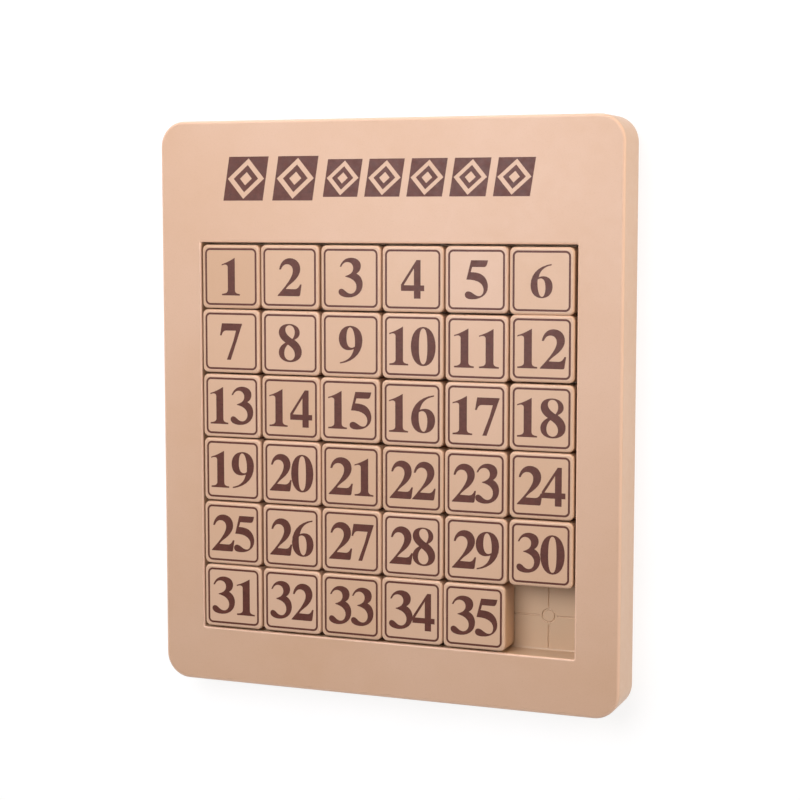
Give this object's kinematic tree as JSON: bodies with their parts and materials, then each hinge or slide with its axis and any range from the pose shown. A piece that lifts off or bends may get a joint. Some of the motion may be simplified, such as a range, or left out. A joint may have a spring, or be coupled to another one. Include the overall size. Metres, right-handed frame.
{
  "type": "sliding tile puzzle",
  "caption": "Flat board with a square tray of numbered magnetic tiles and one empty cell; the tiles beside the gap slide into it and the others lift out.",
  "frame": {"origin": "middle of the back face, on the plane that the board rests on", "axes": "+Z out of the tile faces, +X to the reader's right, +Y towards the wide title band at the head of the board"},
  "size_m": [0.1334, 0.1576, 0.0143],
  "materials": {
    "shell_plastic": "warm tan moulded plastic, satin, very fine texture",
    "cover_plastic": "warm tan moulded plastic, finer matt texture",
    "tile_plastic": "warm tan moulded plastic, satin",
    "tile_base_plastic": "warm tan moulded plastic, plain",
    "nickel_magnet": "nickel plate",
    "zinc_steel": "zinc-plated steel",
    "printed_ink": "thin dark brown printing ink"
  },
  "bodies": {
    "board": {"front_shell": "shell_plastic", "locating_discs": "zinc_steel", "back_cover": "cover_plastic", "cover_screws": "zinc_steel"},
    "tile_01": {"tile_01": "tile_plastic"},
    "tile_02": {"tile_02": "tile_plastic"},
    "tile_03": {"tile_03": "tile_plastic"},
    "tile_04": {"tile_04": "tile_plastic"},
    "tile_05": {"tile_05": "tile_plastic"},
    "tile_06": {"tile_06": "tile_plastic"},
    "tile_07": {"tile_07": "tile_plastic"},
    "tile_08": {"tile_08": "tile_plastic"},
    "tile_09": {"tile_09": "tile_plastic"},
    "tile_10": {"tile_10": "tile_plastic"},
    "tile_11": {"tile_11": "tile_plastic"},
    "tile_12": {"tile_12": "tile_plastic"},
    "tile_13": {"tile_13": "tile_plastic"},
    "tile_14": {"tile_14": "tile_plastic"},
    "tile_15": {"tile_15": "tile_plastic"},
    "tile_16": {"tile_16": "tile_plastic"},
    "tile_17": {"tile_17": "tile_plastic"},
    "tile_18": {"tile_18": "tile_plastic"},
    "tile_19": {"tile_19": "tile_plastic"},
    "tile_20": {"tile_20": "tile_plastic"},
    "tile_21": {"tile_21": "tile_plastic"},
    "tile_22": {"tile_22": "tile_plastic"},
    "tile_23": {"tile_23": "tile_plastic"},
    "tile_24": {"tile_24": "tile_plastic"},
    "tile_25": {"tile_25": "tile_plastic"},
    "tile_26": {"tile_26": "tile_plastic"},
    "tile_27": {"tile_27": "tile_plastic"},
    "tile_28": {"tile_28": "tile_plastic"},
    "tile_29": {"tile_29": "tile_plastic"},
    "tile_30": {"tile_30_cap": "tile_plastic", "tile_30_base": "tile_base_plastic", "tile_30_magnet": "nickel_magnet"},
    "tile_31": {"tile_31": "tile_plastic"},
    "tile_32": {"tile_32": "tile_plastic"},
    "tile_33": {"tile_33": "tile_plastic"},
    "tile_34": {"tile_34": "tile_plastic"},
    "tile_35": {"tile_35_cap": "tile_plastic", "tile_35_base": "tile_base_plastic", "tile_35_magnet": "nickel_magnet"}
  },
  "joints": [
    {"name": "tile_35_slide", "type": "slide", "parent": "board", "child": "tile_35", "axis": [1, 0, 0], "range_m": [0, 0.018]},
    {"name": "tile_30_slide", "type": "slide", "parent": "board", "child": "tile_30", "axis": [0, 1, 0], "range_m": [-0.018, 0]},
    {"name": "tile_01_lift", "type": "slide", "parent": "board", "child": "tile_01", "axis": [0, 0, 1], "range_m": [0, 0.02]},
    {"name": "tile_02_lift", "type": "slide", "parent": "board", "child": "tile_02", "axis": [0, 0, 1], "range_m": [0, 0.02]},
    {"name": "tile_03_lift", "type": "slide", "parent": "board", "child": "tile_03", "axis": [0, 0, 1], "range_m": [0, 0.02]},
    {"name": "tile_04_lift", "type": "slide", "parent": "board", "child": "tile_04", "axis": [0, 0, 1], "range_m": [0, 0.02]},
    {"name": "tile_05_lift", "type": "slide", "parent": "board", "child": "tile_05", "axis": [0, 0, 1], "range_m": [0, 0.02]},
    {"name": "tile_06_lift", "type": "slide", "parent": "board", "child": "tile_06", "axis": [0, 0, 1], "range_m": [0, 0.02]},
    {"name": "tile_07_lift", "type": "slide", "parent": "board", "child": "tile_07", "axis": [0, 0, 1], "range_m": [0, 0.02]},
    {"name": "tile_08_lift", "type": "slide", "parent": "board", "child": "tile_08", "axis": [0, 0, 1], "range_m": [0, 0.02]},
    {"name": "tile_09_lift", "type": "slide", "parent": "board", "child": "tile_09", "axis": [0, 0, 1], "range_m": [0, 0.02]},
    {"name": "tile_10_lift", "type": "slide", "parent": "board", "child": "tile_10", "axis": [0, 0, 1], "range_m": [0, 0.02]},
    {"name": "tile_11_lift", "type": "slide", "parent": "board", "child": "tile_11", "axis": [0, 0, 1], "range_m": [0, 0.02]},
    {"name": "tile_12_lift", "type": "slide", "parent": "board", "child": "tile_12", "axis": [0, 0, 1], "range_m": [0, 0.02]},
    {"name": "tile_13_lift", "type": "slide", "parent": "board", "child": "tile_13", "axis": [0, 0, 1], "range_m": [0, 0.02]},
    {"name": "tile_14_lift", "type": "slide", "parent": "board", "child": "tile_14", "axis": [0, 0, 1], "range_m": [0, 0.02]},
    {"name": "tile_15_lift", "type": "slide", "parent": "board", "child": "tile_15", "axis": [0, 0, 1], "range_m": [0, 0.02]},
    {"name": "tile_16_lift", "type": "slide", "parent": "board", "child": "tile_16", "axis": [0, 0, 1], "range_m": [0, 0.02]},
    {"name": "tile_17_lift", "type": "slide", "parent": "board", "child": "tile_17", "axis": [0, 0, 1], "range_m": [0, 0.02]},
    {"name": "tile_18_lift", "type": "slide", "parent": "board", "child": "tile_18", "axis": [0, 0, 1], "range_m": [0, 0.02]},
    {"name": "tile_19_lift", "type": "slide", "parent": "board", "child": "tile_19", "axis": [0, 0, 1], "range_m": [0, 0.02]},
    {"name": "tile_20_lift", "type": "slide", "parent": "board", "child": "tile_20", "axis": [0, 0, 1], "range_m": [0, 0.02]},
    {"name": "tile_21_lift", "type": "slide", "parent": "board", "child": "tile_21", "axis": [0, 0, 1], "range_m": [0, 0.02]},
    {"name": "tile_22_lift", "type": "slide", "parent": "board", "child": "tile_22", "axis": [0, 0, 1], "range_m": [0, 0.02]},
    {"name": "tile_23_lift", "type": "slide", "parent": "board", "child": "tile_23", "axis": [0, 0, 1], "range_m": [0, 0.02]},
    {"name": "tile_24_lift", "type": "slide", "parent": "board", "child": "tile_24", "axis": [0, 0, 1], "range_m": [0, 0.02]},
    {"name": "tile_25_lift", "type": "slide", "parent": "board", "child": "tile_25", "axis": [0, 0, 1], "range_m": [0, 0.02]},
    {"name": "tile_26_lift", "type": "slide", "parent": "board", "child": "tile_26", "axis": [0, 0, 1], "range_m": [0, 0.02]},
    {"name": "tile_27_lift", "type": "slide", "parent": "board", "child": "tile_27", "axis": [0, 0, 1], "range_m": [0, 0.02]},
    {"name": "tile_28_lift", "type": "slide", "parent": "board", "child": "tile_28", "axis": [0, 0, 1], "range_m": [0, 0.02]},
    {"name": "tile_29_lift", "type": "slide", "parent": "board", "child": "tile_29", "axis": [0, 0, 1], "range_m": [0, 0.02]},
    {"name": "tile_31_lift", "type": "slide", "parent": "board", "child": "tile_31", "axis": [0, 0, 1], "range_m": [0, 0.02]},
    {"name": "tile_32_lift", "type": "slide", "parent": "board", "child": "tile_32", "axis": [0, 0, 1], "range_m": [0, 0.02]},
    {"name": "tile_33_lift", "type": "slide", "parent": "board", "child": "tile_33", "axis": [0, 0, 1], "range_m": [0, 0.02]},
    {"name": "tile_34_lift", "type": "slide", "parent": "board", "child": "tile_34", "axis": [0, 0, 1], "range_m": [0, 0.02]}
  ]
}
